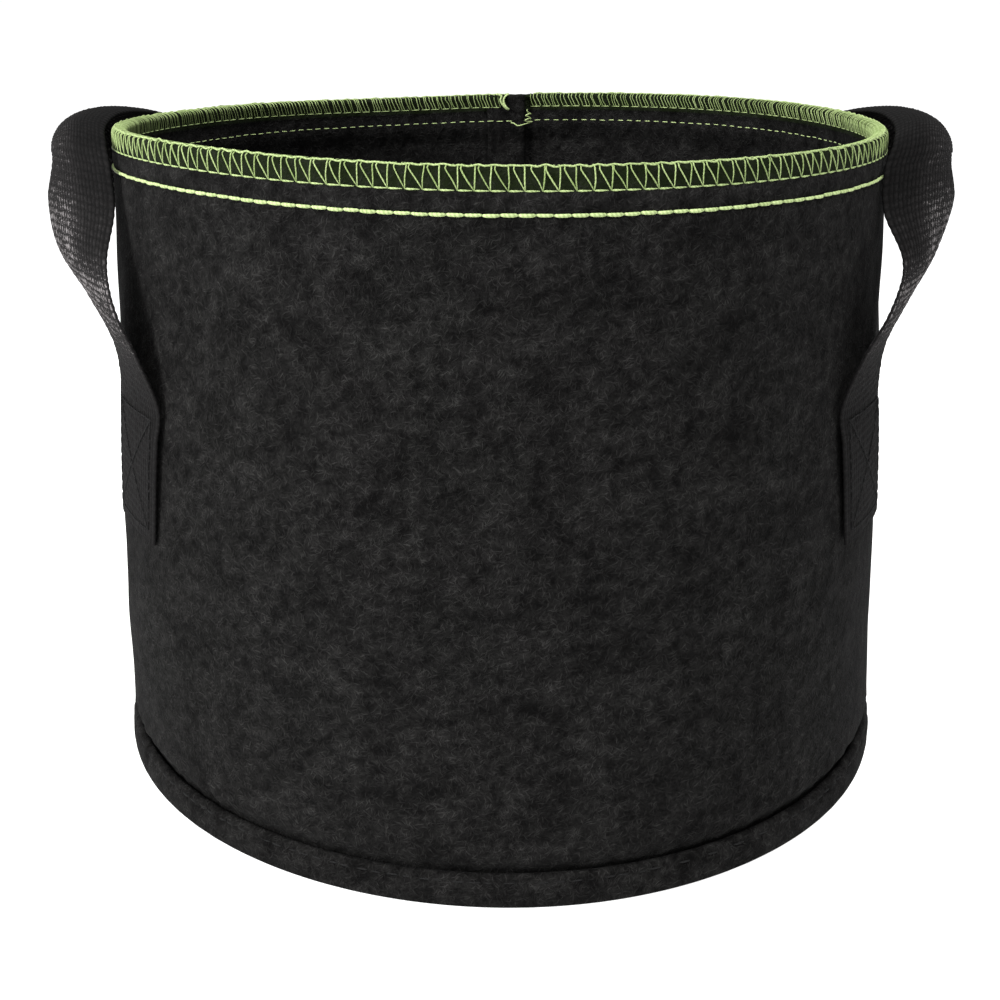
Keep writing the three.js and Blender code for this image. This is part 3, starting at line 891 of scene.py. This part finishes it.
def handle_strap(name, side):
    curve, along = strap_curve(side)
    outer, inner, arch = curve[:, :3], curve[:, 3:6], curve[:, 6]
    width = inner - outer
    forward = np.gradient((outer + inner) / 2, axis=0)
    lift = np.cross(width, forward)
    lift /= np.linalg.norm(lift, axis=1)[:, None]
    across_steps = 120
    share = np.linspace(0, 1, across_steps + 1)
    rounded = np.sqrt(1 - 0.88 * np.abs(2 * share - 1) ** 16)
    scallop = EDGE_SCALLOP / STRAP_WIDTH * np.cos(2 * math.pi * along / WEAVE_ROW)[:, None]
    sewn_length = SEWN_TOP - SEWN_BOTTOM
    from_end = np.minimum(along, along[-1] - along)
    # 1 on the sewn ends, fading out above them: the webbing there gets painted shade and fewer painted
    # glints
    sewn_end_mask = 1 - smoothstep(sewn_length - 3 * MM, sewn_length + 36 * MM, from_end)
    points, place, painted_glint, lit = [], [], [], []
    for face in (1, -1):
        u = share[::face]
        thick = rounded[::face]
        flat = u[None] * STRAP_WIDTH + np.zeros((len(along), 1))
        pattern = weave(flat, along[:, None])
        from_middle = np.abs(flat / STRAP_WIDTH - 0.5)
        pattern = pattern * (1 - 0.7 * bump_at(from_middle, 0.5 - SELVEDGE / STRAP_WIDTH, 0.008))
        rise = arch[:, None] * (1 - (2 * u - 1) ** 2)
        half = face * thick * (STRAP_THICKNESS / 2 - WEAVE_DEPTH * (1 - pattern))
        spread = (u + scallop * (2 * u - 1) ** 9)[..., None]
        face_points = outer[:, None] + width[:, None] * spread + lift[:, None] * (rise + half)[..., None]
        points.append(face_points)
        place.append(np.stack([flat + (0 if face > 0 else 0.1), along[:, None] + 0 * flat, 0 * flat], -1))
        # Where the yarns' crowns get painted glints: fewer of them on the sewn ends
        painted_glint.append(pattern * (1 - 0.7 * sewn_end_mask[:, None]))
        # Painted shade on the webbing: darker towards the crown, on its inner side beside the rim, and on
        # the sewn ends
        crown = smoothstep(*CROWN_SHADE[:2], face_points[..., 2])
        rim_side = smoothstep(0.45, 0.8, u) * smoothstep(*RIM_SHADE[:2], face_points[..., 2])
        painted_light_level = WEBBING_LIGHT[side] * (1 - CROWN_SHADE[2] * crown) * (1 - RIM_SHADE[2] * rim_side)
        lit.append(painted_light_level * (1 - 0.5 * sewn_end_mask[:, None]))
    points = np.concatenate(points, 1)
    points[..., 0] *= -side
    place = np.concatenate(place, 1)
    rows, columns = points.shape[:2]
    faces = ring_faces(rows, columns, close_rows=False)
    ends = [list(range(columns)), [(rows - 1) * columns + k for k in range(columns)][::-1]]
    if side > 0:
        faces = faces[:, ::-1]
        ends = [end[::-1] for end in ends]
    piece = mesh_object(name, points.reshape(-1, 3), faces.tolist() + ends, WEBBING, place.reshape(-1, 3))
    add_layer(piece, "painted_glint", np.concatenate(painted_glint, 1))
    add_layer(piece, "lit", np.concatenate(lit, 1))
    return piece


def box_stitches(name, side, end):
    """A stitched box with a cross in it, through a strap's sewn end. end is -1 front, 1 rear."""
    tubes = Tubes(6)
    half = STRAP_WIDTH / 2 - BOX_MARGIN
    low, high = SEWN_BOTTOM + BOX_MARGIN, SEWN_TOP - BOX_MARGIN
    corners = [(-half, low), (half, low), (half, high), (-half, high)]
    runs = [(corners[k], corners[(k + 1) % 4]) for k in range(4)]
    runs += [(corners[0], corners[2]), (corners[1], corners[3])]
    for start, finish in runs:
        start, finish = np.array(start), np.array(finish)
        count = round(np.linalg.norm(finish - start) / BOX_PITCH)
        for k in range(count):
            share = (k + np.array([0.04, 0.12, 0.3, 0.7, 0.88, 0.96])) / count
            spot = start + (finish - start) * share[:, None] + rng.normal(0, 0.08, 2) * MM
            rise = np.array([-0.6, -0.15, -0.02, -0.02, -0.15, -0.6]) * MM
            path = on_strap(spot[:, 0], spot[:, 1], STRAP_THICKNESS / 2 + rise)
            tubes.add(smooth_path(path * [-side, -end, 1], 2), BOX_THREAD)
    return tubes.object(name, BLACK)


# ---------------------------------------------------------------- the pieces on their bodies

wall = felt_wall()
base = felt_base()
flap = seam_flap()
for piece in (wall, base, flap):
    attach(piece, "bag")
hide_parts("wall_panel")
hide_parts("base_panel")

overlock = (*rim_overlock(), edge_chain())
for piece, node in zip(overlock, ("rim_overlock_outer", "rim_overlock_inner", "rim_overlock_edge")):
    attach(piece, "bag")
    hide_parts(node)

rows = [
    lockstitch("rim_stitches_outside", LOCK_PITCH, level(LOCK_HEIGHT), wall_outside, 1, LOCK_THREAD, 1.0,
               GREEN),
    lockstitch("rim_stitches_inside", LOCK_INSIDE_PITCH, inside_line, hem_inside, -1,
               LOCK_INSIDE_THREAD, 0.66, GREEN, skip=beside_seam),
    lockstitch("base_stitches_outside", LOCK_PITCH, level(BASE_LINE), band_outside, 1, BASE_THREAD, 0.85,
               BLACK),
    lockstitch("base_stitches_inside", LOCK_PITCH, level(BASE_LINE), wall_inside, -1,
               BASE_INSIDE_THREAD, 0.85, BLACK),
]
nodes = ("rim_stitch_needle", "rim_stitch_bobbin", "base_stitch_needle", "base_stitch_bobbin")
slots = ("green_thread", "green_thread", "black_thread", "black_thread")
for piece, node, slot in zip(rows, nodes, slots):
    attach(piece, "bag")
    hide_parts(node)

thread_ends = seam_threads()
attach(thread_ends, "bag")
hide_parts("seam_thread_tail")
back_seam = back_seam_stitches()
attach(back_seam, "bag")
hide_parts("back_seam_thread")

for word, side in (("left", -1), ("right", 1)):
    strap = handle_strap(f"{word}_handle_strap", side)
    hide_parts(f"{word}_strap_loop", f"{word}_strap_front_end", f"{word}_strap_rear_end")
    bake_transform(strap)
    for place, end in (("front", -1), ("rear", 1)):
        stitches = box_stitches(f"{word}_{place}_box_stitches", side, end)
        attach(stitches, "bag")
        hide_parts(f"{word}_{place}_box_stitch")


# ---------------------------------------------------------------- the studio

def studio_floor():
    n = Nodes("studio_floor")
    material = n.finish((0.6, 0.6, 0.6, 1), 0.95, Specular_IOR_Level=0.0,
                        Emission_Color=(1, 1, 1, 1), Emission_Strength=FLOOR_GLOW)
    corners = ((-1, -1), (1, -1), (1, 1), (-1, 1))
    points = [(x * FLOOR_REACH, y * FLOOR_REACH, 0) for x, y in corners]
    floor = mesh_object("studio_floor", points, [[0, 1, 2, 3]], material, smooth=False)
    floor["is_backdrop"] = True


def area_light(name, place, target, size, watts):
    data = bpy.data.lights.new(name, "AREA")
    data.shape = "DISK"
    data.size = size
    data.energy = watts
    lamp = bpy.data.objects.new(name, data)
    lamp.location = place
    direction = np.array(target, float) - np.array(place, float)
    pitch = math.pi / 2 + math.atan2(direction[2], math.hypot(direction[0], direction[1]))
    lamp.rotation_euler = (pitch, 0, math.atan2(-direction[0], direction[1]))
    bpy.context.scene.collection.objects.link(lamp)


def studio():
    studio_floor()
    world = bpy.data.worlds.new("studio")
    world.use_nodes = True
    world.node_tree.nodes["Background"].inputs["Color"].default_value = (1, 1, 1, 1)
    world.node_tree.nodes["Background"].inputs["Strength"].default_value = WORLD_LIGHT
    bpy.context.scene.world = world
    area_light("key", (-1.45, -0.85, 0.85), LIGHT_TARGET, 0.9, KEY_WATTS)
    area_light("top", (0.15, -0.6, 1.7), LIGHT_TARGET, 0.8, TOP_WATTS)
    bpy.context.scene.view_settings.view_transform = "Standard"


def camera():
    data = bpy.data.cameras.new("camera")
    data.sensor_width = 36
    data.lens = CAMERA_LENS
    data.shift_y = CAMERA_SHIFT
    data.clip_start = 0.02
    view = bpy.data.objects.new("camera", data)
    view.location = (0, -CAMERA_BACK, HEIGHT + CAMERA_ABOVE_RIM)
    view.rotation_euler = (math.pi / 2 - CAMERA_TILT, 0, 0)
    bpy.context.scene.collection.objects.link(view)
    bpy.context.scene.camera = view


studio()
camera()

sizes = {"cad": cad_box, "visual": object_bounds()}
sizes = {key: [[float(value) for value in corner] for corner in box] for key, box in sizes.items()}
